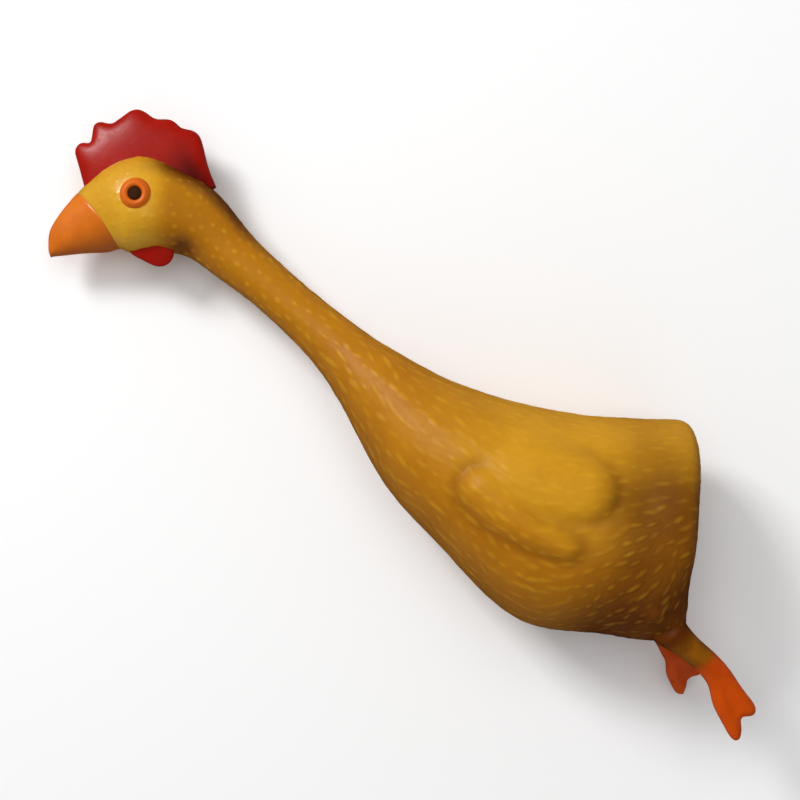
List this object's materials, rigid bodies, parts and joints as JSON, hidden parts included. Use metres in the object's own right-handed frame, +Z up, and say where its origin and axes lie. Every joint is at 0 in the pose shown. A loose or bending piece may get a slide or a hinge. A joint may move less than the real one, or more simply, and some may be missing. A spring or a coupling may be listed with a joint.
{
  "type": "rubber chicken",
  "caption": "Squeaky rubber chicken prop lying on its side: hollow plucked body, limp neck, comb, hooked bill, dangling legs and a squeaker in the vent.",
  "frame": {"origin": "on the table plane, under the middle of the whole chicken's bounding box", "axes": "+X from the head towards the tail and feet, +Y towards the chicken's back, +Z up out of its left flank as it lies on its right side"},
  "size_m": [0.4434, 0.1291, 0.0925],
  "materials": {
    "skin": "satin soft vinyl, yellow-orange with paler raised pimples",
    "comb": "glossy red painted vinyl",
    "bill": "glossy orange painted vinyl",
    "foot": "satin red-orange painted vinyl",
    "eye_ring": "glossy orange painted vinyl",
    "pupil": "glossy dark brown paint",
    "squeaker": "plain moulded plastic",
    "reed": "thin springy plastic film"
  },
  "bodies": {
    "torso": {"torso_skin": "skin", "thigh_left": "skin", "thigh_right": "skin", "squeaker_body": "squeaker", "reed_seat": "squeaker"},
    "flank": {"flank_panel": "skin"},
    "squeak_reed": {"reed": "reed"},
    "neck_1": {"neck_skin_1": "skin"},
    "neck_2": {"neck_skin_2": "skin"},
    "neck_3": {"neck_skin_3": "skin"},
    "neck_4": {"neck_skin_4": "skin"},
    "head": {"head_skin": "skin", "comb": "comb", "upper_bill": "bill", "lower_bill": "bill", "eye_ring_left": "eye_ring", "eye_ring_right": "eye_ring", "pupil_left": "pupil", "pupil_right": "pupil", "wattle_left": "comb", "wattle_right": "comb"},
    "left_leg": {"leg_left": "skin"},
    "right_leg": {"leg_right": "skin"},
    "left_foot": {"foot_left": "foot"},
    "right_foot": {"foot_right": "foot"}
  },
  "joints": [
    {"name": "neck_base", "type": "hinge", "parent": "torso", "child": "neck_1", "pos_m": [-0.0417, -0.0092, 0.0369], "axis": [0, 0, 1], "range_deg": [-24, 24], "stiffness_Nm_per_rad": 0.3},
    {"name": "neck_lower", "type": "hinge", "parent": "neck_1", "child": "neck_2", "pos_m": [-0.0611, -0.0062, 0.0331], "axis": [0.1392, 0.9903, 0], "range_deg": [-4, 26], "stiffness_Nm_per_rad": 0.3},
    {"name": "neck_middle", "type": "hinge", "parent": "neck_2", "child": "neck_3", "pos_m": [-0.0825, -0.004, 0.0298], "axis": [0, 0, 1], "range_deg": [-24, 24], "stiffness_Nm_per_rad": 0.3},
    {"name": "neck_upper", "type": "hinge", "parent": "neck_3", "child": "neck_4", "pos_m": [-0.1045, -0.0019, 0.0273], "axis": [0.1633, 0.9866, 0], "range_deg": [-4, 26], "stiffness_Nm_per_rad": 0.3},
    {"name": "head_nod", "type": "hinge", "parent": "neck_4", "child": "head", "pos_m": [-0.1256, -0.0001, 0.0249], "axis": [0, 0, 1], "range_deg": [-24, 24], "stiffness_Nm_per_rad": 0.3},
    {"name": "left_hip", "type": "hinge", "parent": "torso", "child": "left_leg", "pos_m": [0.156, -0.0221, 0.066], "axis": [0, 0, 1], "range_deg": [-25, 25], "stiffness_Nm_per_rad": 0.3},
    {"name": "left_ankle", "type": "hinge", "parent": "left_leg", "child": "left_foot", "pos_m": [0.1895, -0.0272, 0.06], "axis": [0.3967, 0.918, 0], "range_deg": [-25, 25], "stiffness_Nm_per_rad": 0.08},
    {"name": "right_hip", "type": "hinge", "parent": "torso", "child": "right_leg", "pos_m": [0.1563, -0.023, 0.0272], "axis": [0, 0, 1], "range_deg": [-25, 25], "stiffness_Nm_per_rad": 0.3},
    {"name": "right_ankle", "type": "hinge", "parent": "right_leg", "child": "right_foot", "pos_m": [0.1731, -0.0311, 0.034], "axis": [0.3624, 0.932, 0], "range_deg": [-40, 3], "stiffness_Nm_per_rad": 0.08},
    {"name": "flank_squeeze", "type": "slide", "parent": "torso", "child": "flank", "axis": [0, 0, -1], "range_m": [0, 0.009], "stiffness_N_per_m": 400},
    {"name": "reed_flex", "type": "hinge", "parent": "torso", "child": "squeak_reed", "pos_m": [0.12701, 0.01997, 0.04575], "axis": [0.4939, -0.8695, 0], "range_deg": [0, 4], "stiffness_Nm_per_rad": 0.002}
  ]
}
